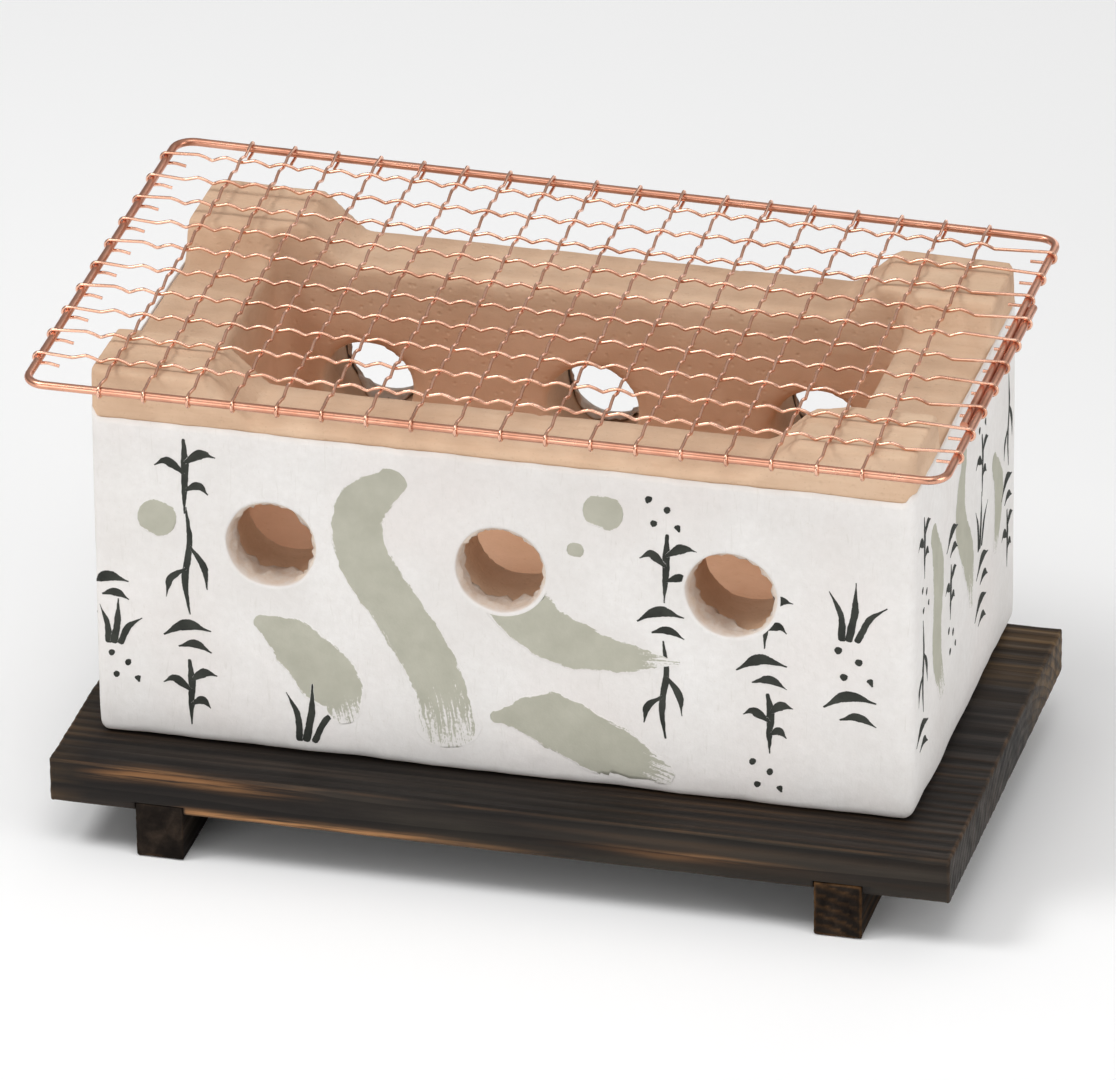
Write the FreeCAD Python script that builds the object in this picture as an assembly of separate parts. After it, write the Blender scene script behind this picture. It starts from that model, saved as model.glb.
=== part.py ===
"""Tabletop charcoal stove: a thick clay fire box in a paper wrap, standing on a
wooden tray with two cross feet, under a lift-off grilling net of crimped wire.

Millimetres. +X runs along the stove, +Y to its back, +Z up. The origin is on
the table, under the middle of the whole. The pieces are only set down on each
other, so the stove, the tray and the net each have a middle of their own.
"""
import FreeCAD
import Part

import math
import os

# ---- clay fire box ---------------------------------------------------------
stove_x = 1.4               # middle of the stove
stove_y = 0.25
stove_length = 251.0        # outside the paper, along X
stove_depth = 137.0         # outside the paper, along Y
rim_height = 109.0          # crest of the walls above the tray
wall_thick = 28.0
floor_thick = 40.0          # clay under the fire
stove_corner = 4.0          # radius of the upright outer edges
base_round = 3.0            # radius of the clay's bottom edge
rim_round = 3.0             # radius of the walls' outer top edge
fire_corner = 5.0           # radius of the upright inner edges

# ---- corner posts that carry the net ---------------------------------------
post_rise = 11.4            # above the walls' crest
post_length = 36.5          # top, along X
post_depth = 31.0           # top, along Y
post_slope_x = 12.0         # run of the sloping end, along X
post_slope_y = 4.0          # run of the sloping side, along Y

# ---- draught holes ---------------------------------------------------------
vent_diameter = 28.0
vent_height = 69.0          # centre above the tray
vent_end_space = 27.5       # last hole's centre to the fire chamber's end
vents_per_wall = 3

# ---- paper wrap ------------------------------------------------------------
paper_thick = 0.4
paper_below_rim = 3.0       # bare clay above the paper
paper_hem = 9.0             # width turned in under the clay

# ---- wooden tray -----------------------------------------------------------
tray_extra_length = 24.8    # longer than the stove
tray_extra_depth = 15.6     # deeper than the stove
tray_x = 4.4                # middle of the tray
tray_y = -11.45
tray_thick = 15.0
tray_edge = 0.8             # eased edges
foot_width = 15.0
foot_stand = 15.0           # height of the tray's underside
foot_let_in = 3.0           # depth of the groove that holds the foot
foot_inset = 26.5           # foot's outer side to the tray's end

# ---- nails, three up through each foot --------------------------------------
nails_per_foot = 3
nail_shank = 1.8
nail_head = 4.0
nail_head_thick = 0.8
nail_length = 25.0
nail_sink = 0.5             # head below the foot's underside
nail_end_space = 22.0       # outer nails to the foot's ends

# ---- grilling net ----------------------------------------------------------
net_x = -1.0                # middle of the net
net_y = 2.95
net_extra_length = 27.0     # frame's centreline, longer than the stove
net_extra_depth = 28.0      # frame's centreline, deeper than the stove
net_twist = 3.0             # rise of the frame's back left corner, over the other three
frame_wire = 2.5
frame_corner = 6.0          # bend radius of the frame's corners
mesh_wire = 1.0
short_wire_count = 18       # front to back
long_wire_count = 10        # side to side
left_margin = 23.4          # frame to the first short wire
right_margin = 24.1
front_margin = 16.6         # frame to the first long wire
back_margin = 12.6
crossing_gap = 0.1          # between the two wires where they cross
frame_gap = 0.05            # between a mesh wire and the frame it wraps
net_rest_gap = 0.3          # between the net and the posts
lap_gap = 0.1               # between the frame wire's lapped ends
lap_front_space = 37.0      # front of the frame to the inner lapped end
lap_back_space = 47.0       # back of the frame to the outer lapped end
crimps_per_cell = 3         # half waves between two crossings
crimp_bend = 1.4            # bend radius in a crimp
loop_lead = 1.6             # straight wire before an end loop
side_tail = 6.0             # wire end turned back under the frame's sides
front_tail = 4.0            # the same under the front and the back

# ---- places that follow ------------------------------------------------------
tray_top = foot_stand + tray_thick
clay_base = tray_top + paper_thick
rim_top = tray_top + rim_height
post_top = rim_top + post_rise
paper_top = rim_top - paper_below_rim
clay_length = stove_length - 2 * paper_thick
clay_depth = stove_depth - 2 * paper_thick
chamber_length = stove_length - 2 * wall_thick
chamber_depth = stove_depth - 2 * wall_thick
chamber_floor = tray_top + floor_thick

crimp_height = (mesh_wire + crossing_gap) / 2
loop_radius = frame_wire / 2 + frame_gap + mesh_wire / 2
net_level = post_top + net_rest_gap + mesh_wire / 2 + crimp_height
frame_level = net_level - loop_radius
frame_left = net_x - (stove_length + net_extra_length) / 2
frame_right = net_x + (stove_length + net_extra_length) / 2
frame_front = net_y - (stove_depth + net_extra_depth) / 2
frame_back = net_y + (stove_depth + net_extra_depth) / 2
frame_inner_right = frame_right - frame_wire - lap_gap
lap_front = frame_front + lap_front_space
lap_back = frame_back - lap_back_space
short_pitch = (frame_right - frame_left - left_margin - right_margin) / (short_wire_count - 1)
long_pitch = (frame_back - frame_front - front_margin - back_margin) / (long_wire_count - 1)

os.makedirs("parts", exist_ok=True)


def export(shape, name):
    """Write one finished piece to its own file."""
    shape.exportStep("parts/" + name + ".step")


def point(x, y, z):
    return FreeCAD.Vector(x, y, z)


def block(x0, x1, y0, y1, z0, z1):
    return Part.makeBox(x1 - x0, y1 - y0, z1 - z0, point(x0, y0, z0))


def centred_block(length, depth, z0, z1, centre_x=stove_x, centre_y=stove_y):
    """A block that stands on z0, centred in X and Y, on the stove's middle if none is given."""
    corner_x = centre_x - length / 2
    corner_y = centre_y - depth / 2
    return block(corner_x, corner_x + length, corner_y, corner_y + depth, z0, z1)


def upright_edges(shape):
    """The straight edges that run along Z."""
    found = []
    for edge in shape.Edges:
        start = edge.Vertexes[0].Point
        end = edge.Vertexes[-1].Point
        if abs(start.x - end.x) < 1e-6 and abs(start.y - end.y) < 1e-6:
            found.append(edge)
    return found


def edges_at_height(shape, level):
    """The edges that lie in the plane z = level."""
    found = []
    for edge in shape.Edges:
        box = edge.BoundBox
        if abs(box.ZMin - level) < 1e-6 and abs(box.ZMax - level) < 1e-6:
            found.append(edge)
    return found


def rounded_block(length, depth, z0, z1, corner, bottom):
    """A block on the stove's middle with rounded upright edges and a rounded bottom edge."""
    shape = centred_block(length, depth, z0, z1)
    shape = shape.makeFillet(corner, upright_edges(shape))
    if bottom > 0:
        shape = shape.makeFillet(bottom, edges_at_height(shape, z0))
    return shape


def bent_path(points, radii):
    """A wire through the points, each inner corner rounded to its own radius."""
    edges = []
    start = points[0]
    for index in range(1, len(points) - 1):
        before = points[index] - points[index - 1]
        after = points[index + 1] - points[index]
        turn = before.getAngle(after)
        before.normalize()
        after.normalize()
        if turn < 1e-6:
            continue
        setback = radii[index] * math.tan(turn / 2)
        arc_start = points[index] - before * setback
        arc_end = points[index] + after * setback
        inward = after - before
        inward.normalize()
        to_centre = radii[index] / math.cos(turn / 2)
        middle = points[index] + inward * (to_centre - radii[index])
        if (arc_start - start).Length > 1e-6:
            edges.append(Part.LineSegment(start, arc_start).toShape())
        edges.append(Part.Arc(arc_start, middle, arc_end).toShape())
        start = arc_end
    if (points[-1] - start).Length > 1e-6:
        edges.append(Part.LineSegment(start, points[-1]).toShape())
    return Part.Wire(edges)


def bent_rod(points, radii, diameter):
    """A round rod swept along a bent path."""
    path = bent_path(points, radii)
    direction = points[1] - points[0]
    section = Part.Wire([Part.makeCircle(diameter / 2, points[0], direction)])
    rod = path.makePipeShell([section], True, False)
    length = path.Length
    drawn = math.pi * diameter ** 2 / 4 * length
    if abs(rod.Volume - drawn) > 0.01 * drawn:
        raise ValueError("a bent rod doesn't have the volume of its section times its length")
    return rod


# ---- the fire box ------------------------------------------------------------
def post(side_x, side_y):
    """One corner post: a block whose inner end and inner side slope down to the walls."""
    outer_x = stove_x + side_x * clay_length / 2
    outer_y = stove_y + side_y * clay_depth / 2
    top_x = stove_x + side_x * (stove_length / 2 - post_length)
    top_y = stove_y + side_y * (stove_depth / 2 - post_depth)
    foot_x = top_x - side_x * post_slope_x
    foot_y = top_y - side_y * post_slope_y
    sunk = rim_top - rim_round - 1.0
    sections = []
    for inner_x, inner_y, level in (
        (foot_x, foot_y, sunk),
        (foot_x, foot_y, rim_top),
        (top_x, top_y, post_top),
    ):
        corners = [
            point(outer_x, outer_y, level),
            point(inner_x, outer_y, level),
            point(inner_x, inner_y, level),
            point(outer_x, inner_y, level),
        ]
        sections.append(Part.makePolygon(corners + corners[:1]))
    return Part.makeLoft(sections, True, True)


def vent_centres():
    """X of each draught hole in one long wall."""
    first = stove_x - chamber_length / 2 + vent_end_space
    last = stove_x + chamber_length / 2 - vent_end_space
    step = (last - first) / (vents_per_wall - 1)
    return [first + step * index for index in range(vents_per_wall)]


def vent_cutters():
    """Round bars that cut the draught holes through the front and the back wall."""
    bars = []
    level = tray_top + vent_height
    for centre in vent_centres():
        start = point(centre, stove_y - stove_depth / 2 - 1, level)
        bars.append(Part.makeCylinder(vent_diameter / 2, stove_depth + 2, start, point(0, 1, 0)))
    return bars


def make_clay_body():
    walls = rounded_block(clay_length, clay_depth, clay_base, rim_top, stove_corner - paper_thick, base_round)
    walls = walls.makeFillet(rim_round, edges_at_height(walls, rim_top))
    outline = rounded_block(clay_length, clay_depth, clay_base, post_top, stove_corner - paper_thick, 0)
    for side_x in (-1, 1):
        for side_y in (-1, 1):
            walls = walls.fuse(post(side_x, side_y).common(outline))
    chamber = rounded_block(chamber_length, chamber_depth, chamber_floor, post_top + 1, fire_corner, 0)
    return walls.cut([chamber] + vent_cutters()).removeSplitter()


def make_washi_wrap():
    """One sheet round the four sides, turned in under the clay."""
    outside = rounded_block(
        stove_length, stove_depth, tray_top, paper_top, stove_corner, base_round + paper_thick
    )
    inside = rounded_block(
        clay_length, clay_depth, clay_base, paper_top + 1, stove_corner - paper_thick, base_round
    )
    inset = base_round + paper_thick + paper_hem
    underside = centred_block(stove_length - 2 * inset, stove_depth - 2 * inset, tray_top - 1, clay_base + 1)
    return outside.cut([inside, underside] + vent_cutters())


# ---- the tray ------------------------------------------------------------------
tray_length = stove_length + tray_extra_length
tray_depth = stove_depth + tray_extra_depth
tray_front = tray_y - tray_depth / 2
tray_back = tray_y + tray_depth / 2


def foot_centre(side):
    """X of a foot's middle; side is -1 for the left foot and 1 for the right."""
    return tray_x + side * (tray_length / 2 - foot_inset - foot_width / 2)


def foot_block(side):
    centre = foot_centre(side)
    return block(
        centre - foot_width / 2, centre + foot_width / 2, tray_front, tray_back, 0, foot_stand + foot_let_in
    )


def make_nails(side):
    """A foot's nails, driven up from below: the head, then the shank."""
    first = tray_front + nail_end_space
    step = (tray_depth - 2 * nail_end_space) / (nails_per_foot - 1)
    nails = []
    for index in range(nails_per_foot):
        head_base = point(foot_centre(side), first + step * index, nail_sink)
        shank_base = head_base + point(0, 0, nail_head_thick)
        head = Part.makeCylinder(nail_head / 2, nail_head_thick, head_base)
        shank = Part.makeCylinder(nail_shank / 2, nail_length, shank_base)
        nails.append(head.fuse(shank).removeSplitter())
    return Part.makeCompound(nails)


def nail_holes(side):
    """The room that the nails take, with the sunk space under each head."""
    holes = []
    for nail in make_nails(side).Solids:
        centre = nail.BoundBox.Center
        below = Part.makeCylinder(nail_head / 2, nail_sink, point(centre.x, centre.y, 0))
        holes.append(nail.fuse(below).removeSplitter())
    return holes


def make_foot(side):
    return foot_block(side).cut(nail_holes(side))


def make_tray_board():
    board = centred_block(tray_length, tray_depth, foot_stand, tray_top, tray_x, tray_y)
    board = board.makeFillet(tray_edge, upright_edges(board) + edges_at_height(board, tray_top))
    cutters = []
    for side in (-1, 1):
        cutters.append(foot_block(side))
        cutters.extend(nail_holes(side))
    return board.cut(cutters)


# ---- the net --------------------------------------------------------------------
def lift(x, y):
    """How far the net stands up at a place, because it isn't quite flat."""
    return net_twist * (frame_right - x) * (y - frame_front) / (frame_right - frame_left) / (frame_back - frame_front)


def make_net_frame():
    """One wire bent round four corners, its two ends lapped on the right-hand side."""
    corners = [
        (frame_inner_right, lap_front),
        (frame_inner_right, frame_back),
        (frame_left, frame_back),
        (frame_left, frame_front),
        (frame_right, frame_front),
        (frame_right, lap_back),
    ]
    points = [point(x, y, frame_level + lift(x, y)) for x, y in corners]
    return bent_rod(points, [frame_corner] * len(points), frame_wire)


def mesh_profile(start, end, crossings, first_sign, start_tail, end_tail, plain_end):
    """Profile of one crimped wire: (distance, height, bend radius, seat) at each corner.

    It starts under the frame at start, loops round the frame's outside, runs in
    crimps past its crossings, and loops back under the frame at end. The last
    plain_end crimps before the end are left straight. The seat is the distance
    at which the net's lift is taken: a loop sits square on the frame wire.
    """
    top = net_level
    under = frame_level - loop_radius
    half_wave = (crossings[1] - crossings[0]) / crimps_per_cell
    room = loop_radius + loop_lead + half_wave / 2
    profile = [
        (start + start_tail, under, 0, start),
        (start - loop_radius, under, loop_radius, start),
        (start - loop_radius, top, loop_radius, start),
        (start + loop_lead, top, crimp_bend, start),
    ]
    before = int((crossings[0] - start - room) / half_wave)
    after = int((end - crossings[-1] - room) / half_wave) - plain_end
    count = (len(crossings) - 1) * crimps_per_cell
    for step in range(-before, count + after + 1):
        place = crossings[0] + step * half_wave
        sign = first_sign * (-1) ** step
        profile.append((place, top + sign * crimp_height, crimp_bend, place))
    profile += [
        (end - loop_lead, top, crimp_bend, end),
        (end + loop_radius, top, loop_radius, end),
        (end + loop_radius, under, loop_radius, end),
        (end - end_tail, under, 0, end),
    ]
    return profile


short_places = [frame_left + left_margin + short_pitch * index for index in range(short_wire_count)]
long_places = [frame_front + front_margin + long_pitch * index for index in range(long_wire_count)]


def make_long_wire(index):
    """A wire from side to side; it is over the first short wire when its number is even."""
    y = long_places[index]
    right_end = frame_inner_right if y > lap_back else frame_right
    sign = (-1) ** index
    profile = mesh_profile(frame_left, right_end, short_places, sign, side_tail, side_tail, 2)
    points = [point(x, y, z + lift(seat, y)) for x, z, bend, seat in profile]
    return bent_rod(points, [bend for x, z, bend, seat in profile], mesh_wire)


def make_short_wire(index):
    """A wire from front to back, under wherever the long wires are over."""
    x = short_places[index]
    sign = -((-1) ** index)
    profile = mesh_profile(frame_front, frame_back, long_places, sign, front_tail, front_tail, 0)
    points = [point(x, y, z + lift(x, seat)) for y, z, bend, seat in profile]
    return bent_rod(points, [bend for y, z, bend, seat in profile], mesh_wire)


# ---- every piece to its own file ---------------------------------------------------
export(make_clay_body(), "clay_body")
export(make_washi_wrap(), "washi_wrap")
export(make_tray_board(), "tray_board")
for foot_name, foot_side in (("left", -1), ("right", 1)):
    export(make_foot(foot_side), foot_name + "_foot")
    export(make_nails(foot_side), foot_name + "_foot_nails")
export(make_net_frame(), "net_frame")
for number in range(long_wire_count):
    export(make_long_wire(number), "long_wire_%02d" % (number + 1))
for number in range(short_wire_count):
    export(make_short_wire(number), "short_wire_%02d" % (number + 1))
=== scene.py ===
"""Tabletop charcoal stove: hand-finished clay in a printed paper wrap, a crimped
copper net and a charred tray. Metres, in the part's own frame.
"""

import math
import random

import bmesh
import bpy
from mathutils import Matrix, Vector, noise


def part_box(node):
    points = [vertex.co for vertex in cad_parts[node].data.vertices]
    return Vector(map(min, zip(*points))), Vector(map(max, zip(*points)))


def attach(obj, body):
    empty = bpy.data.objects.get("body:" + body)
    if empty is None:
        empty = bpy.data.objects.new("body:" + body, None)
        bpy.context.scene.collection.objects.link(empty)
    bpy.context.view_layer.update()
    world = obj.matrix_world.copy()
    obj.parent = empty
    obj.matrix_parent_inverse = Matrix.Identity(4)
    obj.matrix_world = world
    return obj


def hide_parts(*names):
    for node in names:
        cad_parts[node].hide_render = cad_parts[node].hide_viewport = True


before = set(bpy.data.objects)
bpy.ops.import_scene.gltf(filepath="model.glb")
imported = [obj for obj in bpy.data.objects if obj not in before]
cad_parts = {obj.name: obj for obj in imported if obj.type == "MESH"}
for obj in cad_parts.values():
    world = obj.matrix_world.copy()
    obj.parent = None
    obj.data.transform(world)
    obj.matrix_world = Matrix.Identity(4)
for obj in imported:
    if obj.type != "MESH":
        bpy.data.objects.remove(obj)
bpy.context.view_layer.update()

MM = 0.001

# ---- camera ----
AIM = Vector((-0.0011, 0.0087, 0.0706))
CAMERA_DISTANCE = 3.856
AZIMUTH = math.radians(14.83)
ELEVATION = math.radians(27.14)
ROLL = math.radians(-0.61)
LENS = 413.7

# ---- sizes that the boxes of the nodes don't give ----
WALL = 28 * MM
RIM_ABOVE_PAPER = 3 * MM
VENT_RADIUS = 14 * MM
VENT_HEIGHT = 69 * MM
VENT_END_SPACE = 27.5 * MM
NET_TWIST = 3 * MM
FRAME_WIRE = 2.5 * MM
MESH_WIRE = 1.0 * MM
CROSSING_GAP = 0.1 * MM
FRAME_GAP = 0.05 * MM
LAP_GAP = 0.1 * MM
LAP_FRONT_SPACE = 37 * MM
LAP_BACK_SPACE = 47 * MM
FRAME_CORNER = 6 * MM
SIDE_TAIL = 6 * MM
FRONT_TAIL = 4 * MM
LOOP_LEAD = 1.6 * MM
RING_SPACING = 3.4 * MM          # growth rings of the tray's wood
RING_STRETCH = 0.12              # how the rings are drawn out along the grain


# ---- material recipes ----
class Recipe:
    """A material's node tree, built one step at a time."""

    def __init__(self, name, roughness=0.8, metallic=0.0, specular=0.5):
        self.material = bpy.data.materials.new(name)
        self.material.use_nodes = True
        self.tree = self.material.node_tree
        self.shader = self.tree.nodes["Principled BSDF"]
        self.plug(self.shader, {"Roughness": roughness, "Metallic": metallic, "Specular IOR Level": specular})
        self.place = self.add("ShaderNodeTexCoord", "Object", {})

    def plug(self, node, values):
        """Link each socket to another node's output, or set it if the value is plain."""
        for socket, value in values.items():
            if isinstance(value, bpy.types.NodeSocket):
                self.tree.links.new(value, node.inputs[socket])
            else:
                node.inputs[socket].default_value = value

    def add(self, kind, output, values, **settings):
        """Add a node, fill its sockets and give one of its outputs."""
        node = self.tree.nodes.new(kind)
        for key, value in settings.items():
            setattr(node, key, value)
        self.plug(node, values)
        return node.outputs[output]

    def stretched(self, scale, place=None, shift=(0, 0, 0)):
        """Coordinates scaled by axis, for a pattern that is longer one way, and shifted."""
        values = {"Vector": place or self.place, "Scale": scale, "Location": shift}
        return self.add("ShaderNodeMapping", "Vector", values)

    def noise(self, scale, detail, roughness, place=None, distortion=0.0):
        return self.add("ShaderNodeTexNoise", "Fac", {
            "Vector": place or self.place, "Scale": scale, "Detail": detail,
            "Roughness": roughness, "Distortion": distortion})

    def cells(self, scale):
        return self.add("ShaderNodeTexVoronoi", "Distance", {"Vector": self.place, "Scale": scale})

    def rings(self, pith, grain_axis):
        """Growth rings: arcs on the ends, long lines on the faces."""
        scale = [RING_STRETCH if axis == grain_axis else 1.0 for axis in range(3)]
        values = {
            "Vector": self.stretched(scale, shift=[-away for away in pith]),
            "Scale": math.pi / 10 / RING_SPACING,
            "Distortion": 3.0, "Detail": 2.0, "Detail Scale": 0.45,
        }
        return self.add("ShaderNodeTexWave", "Fac", values, wave_type="RINGS",
                        rings_direction="XYZ"[grain_axis], wave_profile="SAW")

    def attribute(self, name):
        return self.add("ShaderNodeAttribute", "Fac", {}, attribute_name=name)

    def ramp(self, value, stops):
        """Colours along a value: stops are (position, colour)."""
        output = self.add("ShaderNodeValToRGB", "Color", {"Fac": value})
        elements = output.node.color_ramp.elements
        while len(elements) < len(stops):
            elements.new(0.5)
        for element, (position, colour) in zip(elements, stops):
            element.position = position
            element.color = (*colour, 1.0)
        return output

    def span(self, value, low, high, out_low=0.0, out_high=1.0):
        return self.add("ShaderNodeMapRange", "Result", {
            "Value": value, "From Min": low, "From Max": high, "To Min": out_low, "To Max": out_high})

    def maths(self, operation, first, second):
        return self.add("ShaderNodeMath", "Value", {0: first, 1: second}, operation=operation)

    def product(self, first, second):
        return self.maths("MULTIPLY", first, second)

    def mix(self, amount, first, second, blend="MIX"):
        first, second = [(*value, 1.0) if isinstance(value, tuple) else value for value in (first, second)]
        values = {"Factor": amount, 6: first, 7: second}
        return self.add("ShaderNodeMix", 2, values, data_type="RGBA", blend_type=blend)

    def tinted(self, base, tint, where, low, high, least=0.0, most=1.0):
        """The base colour taken towards a tint as a value runs from low to high."""
        return self.mix(self.span(where, low, high, least, most), base, tint)

    def bump(self, height, strength, distance, under=None):
        values = {"Height": height, "Strength": strength, "Distance": distance}
        if under is not None:
            values["Normal"] = under
        return self.add("ShaderNodeBump", "Normal", values)

    def finish(self, colour, roughness=None, normal=None):
        values = {"Base Color": colour, "Roughness": roughness, "Normal": normal}
        self.plug(self.shader, {socket: value for socket, value in values.items() if value is not None})
        return self.material


PAPER_LIGHT = (0.83, 0.81, 0.79)
PAPER_SHADE = (0.74, 0.71, 0.685)
PAPER_BLUSH = (0.80, 0.715, 0.68)
PAPER_PULP = (0.66, 0.63, 0.60)
PAPER_FIBRE = (0.60, 0.57, 0.52)
PAPER_FLECK = (0.62, 0.56, 0.48)
# Clay brown for the paper's edges: clay dust, and painted shade where the paper turns into the holes.
CLAY_DUST_AND_SHADE = (0.60, 0.44, 0.31)


def paper_colour(recipe):
    """Off-white with faint clouds, flecks and long fibres; clay-brown at its edges: clay dust along the top,
    browner along the bottom, and painted shade where it turns into the holes.
    """
    pulp = recipe.noise(380, 5, 0.7)
    fibres = recipe.noise(900, 2, 0.5, recipe.stretched((1.0, 1.0, 0.12)), 1.2)
    base = recipe.tinted(PAPER_SHADE, PAPER_LIGHT, recipe.noise(28, 5, 0.6), 0.3, 0.7)
    base = recipe.tinted(base, PAPER_BLUSH, recipe.noise(17, 3, 0.5), 0.5, 0.8, 0.0, 0.4)
    base = recipe.tinted(base, PAPER_PULP, pulp, 0.35, 0.65, 0.28, 0.0)
    base = recipe.tinted(base, PAPER_FIBRE, fibres, 0.62, 0.8, 0.0, 0.35)
    base = recipe.tinted(base, PAPER_FLECK, recipe.cells(420), 0.0, 0.16, 0.25, 0.0)
    # Clay dust at the edges, and painted shade warmed by the clay inside the holes.
    dusted_and_shaded = recipe.product(recipe.attribute("dust_and_shade"), recipe.span(pulp, 0.3, 0.7, 0.35, 0.85))
    return recipe.mix(dusted_and_shaded, base, CLAY_DUST_AND_SHADE)


def paper_relief(recipe):
    """Crumple and tooth, as a normal."""
    coarse = recipe.bump(recipe.noise(90, 4, 0.55), 0.5, 0.9 * MM)
    return recipe.bump(recipe.noise(1500, 3, 0.6), 0.5, 0.15 * MM, coarse)


def make_paper():
    recipe = Recipe("washi_paper", roughness=0.9, specular=0.25)
    return recipe.finish(paper_colour(recipe), normal=paper_relief(recipe))


def make_brushed_print(name, full, thin, dry, streak_scale):
    """Paint laid on paper by a brush: streaks along the stroke, paper showing where it ran dry."""
    recipe = Recipe(name, roughness=0.85, specular=0.25)
    stroke = recipe.add("ShaderNodeUVMap", "UV", {}, uv_map="stroke")
    streaks = recipe.noise(streak_scale, 4, 0.65, recipe.stretched((0.05, 1.0, 1.0), stroke))
    speckle = recipe.noise(1100, 3, 0.6)
    paint = recipe.tinted(full, thin, recipe.noise(120, 4, 0.6), 0.3, 0.7)
    worn = recipe.maths("ADD", recipe.attribute("dryness"), recipe.product(streaks, 0.8))
    worn = recipe.maths("ADD", worn, recipe.product(speckle, 0.35))
    colour = recipe.tinted(paint, paper_colour(recipe), worn, dry, dry + 0.06)
    return recipe.finish(colour, normal=paper_relief(recipe))


CLAY_SHADES = [(0.3, (0.56, 0.37, 0.245)), (0.5, (0.66, 0.46, 0.315)), (0.72, (0.73, 0.54, 0.385))]
# Redder, browner clay for deep in the chamber: partly fired colour, partly painted shade.
FIRED_CLAY_AND_SHADE = [(0.3, (0.60, 0.35, 0.215)), (0.7, (0.74, 0.48, 0.325))]
CLAY_MARK = (0.50, 0.31, 0.19)
CLAY_GRAIN = (0.42, 0.27, 0.17)


def make_clay():
    """Pale tan clay with tool marks, grains and pits, redder and browner down in the fire chamber: partly fired
    colour, partly painted shade.
    """
    recipe = Recipe("diatomite_clay", roughness=0.92, specular=0.2)
    clouds = recipe.noise(22, 6, 0.6)
    marks = recipe.noise(160, 4, 0.7, recipe.stretched((0.25, 1.0, 2.2)))
    pale = recipe.tinted(recipe.ramp(clouds, CLAY_SHADES), CLAY_MARK, marks, 0.45, 0.75, 0.0, 0.3)
    pale = recipe.tinted(pale, CLAY_GRAIN, recipe.cells(650), 0.0, 0.22, 0.35, 0.0)
    # Painted shade and fired colour: the clay goes towards the chamber's colour the deeper it lies.
    depth = recipe.maths("ADD", recipe.attribute("depth"), recipe.span(clouds, 0.3, 0.7, -0.12, 0.12))
    colour = recipe.tinted(pale, recipe.ramp(clouds, FIRED_CLAY_AND_SHADE), depth, 0.2, 1.15)
    pits = recipe.span(recipe.cells(330), 0.0, 0.28)
    coarse = recipe.bump(recipe.noise(200, 6, 0.65), 0.5, 0.6 * MM)
    fine = recipe.bump(pits, 0.5, 0.35 * MM, coarse)
    return recipe.finish(colour, normal=recipe.bump(marks, 0.4, 0.3 * MM, fine))


CHAR_SHADES = [(0.3, (0.007, 0.0052, 0.0045)), (0.5, (0.015, 0.011, 0.0085)), (0.7, (0.036, 0.025, 0.018))]
WORN_SHADES = [(0.3, (0.022, 0.012, 0.006)), (0.55, (0.105, 0.052, 0.020)), (0.75, (0.19, 0.10, 0.042))]
BLOOM = (0.052, 0.043, 0.031)
AMBER = (0.44, 0.215, 0.085)
STRAW = (0.15, 0.088, 0.036)
LATE_WOOD = (0.26, 0.22, 0.20)


def make_charred_wood(name, shine, grain_axis, pith, ring_depth):
    """Softwood burnt, brushed and oiled: black-brown hollows, warm worn ridges, weathered ends."""
    recipe = Recipe(name, roughness=0.6, specular=shine)

    def grain(scale, detail, roughness, share=0.03):
        """Noise drawn out along the grain."""
        drawn_out = [share if axis == grain_axis else 1.0 for axis in range(3)]
        return recipe.noise(scale, detail, roughness, recipe.stretched(drawn_out))

    long_grain = grain(170, 6, 0.62, 0.035)
    patches = grain(13, 3, 0.5, 0.45)
    ridges = recipe.product(recipe.attribute("ridge"), recipe.span(patches, 0.42, 0.72))
    corners = recipe.product(recipe.attribute("worn"), recipe.span(patches, 0.3, 0.6, 0.25, 1.0))
    show = recipe.maths("ADD", ridges, corners)
    dark = recipe.ramp(long_grain, CHAR_SHADES)
    colour = recipe.tinted(dark, recipe.ramp(long_grain, WORN_SHADES), show, 0.15, 1.0, 0.0, 0.85)
    for mark, tint, streaks, low, high, least, most in (
        ("scorched", BLOOM, grain(40, 4, 0.6, 0.15), 0.5, 0.7, 0.0, 0.6),
        ("amber", AMBER, grain(800, 5, 0.65), 0.38, 0.56, 0.1, 0.95),
        ("straw", STRAW, grain(260, 5, 0.6), 0.4, 0.62, 0.2, 1.0),
    ):
        amount = recipe.product(recipe.attribute(mark), recipe.span(streaks, low, high, least, most))
        colour = recipe.mix(amount, colour, tint)
    rings = recipe.rings(pith, grain_axis)
    colour = recipe.mix(recipe.span(rings, 0.4, 0.95, 0.0, ring_depth), colour, LATE_WOOD, "MULTIPLY")
    coarse = recipe.bump(rings, 0.4 * ring_depth, 0.3 * MM, recipe.bump(long_grain, 0.6, 0.5 * MM))
    rough = recipe.span(long_grain, 0.3, 0.7, 0.68, 0.5)
    return recipe.finish(colour, rough, recipe.bump(grain(900, 4, 0.6), 0.5, 0.2 * MM, coarse))


def make_copper(name, bright, dull, roughness):
    """Copper-plated steel wire with a fine grainy surface and a little tarnish."""
    recipe = Recipe(name, metallic=1.0)
    tarnish = recipe.noise(60, 5, 0.6)
    colour = recipe.tinted(bright, dull, tarnish, 0.4, 0.75)
    colour = recipe.tinted(colour, (0.25, 0.10, 0.06), recipe.noise(700, 3, 0.6), 0.6, 0.75, 0.0, 0.35)
    rough = recipe.span(tarnish, 0.3, 0.75, roughness, roughness + 0.14)
    return recipe.finish(colour, rough, recipe.bump(recipe.noise(1800, 2, 0.5), 0.12, 0.05 * MM))


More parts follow.
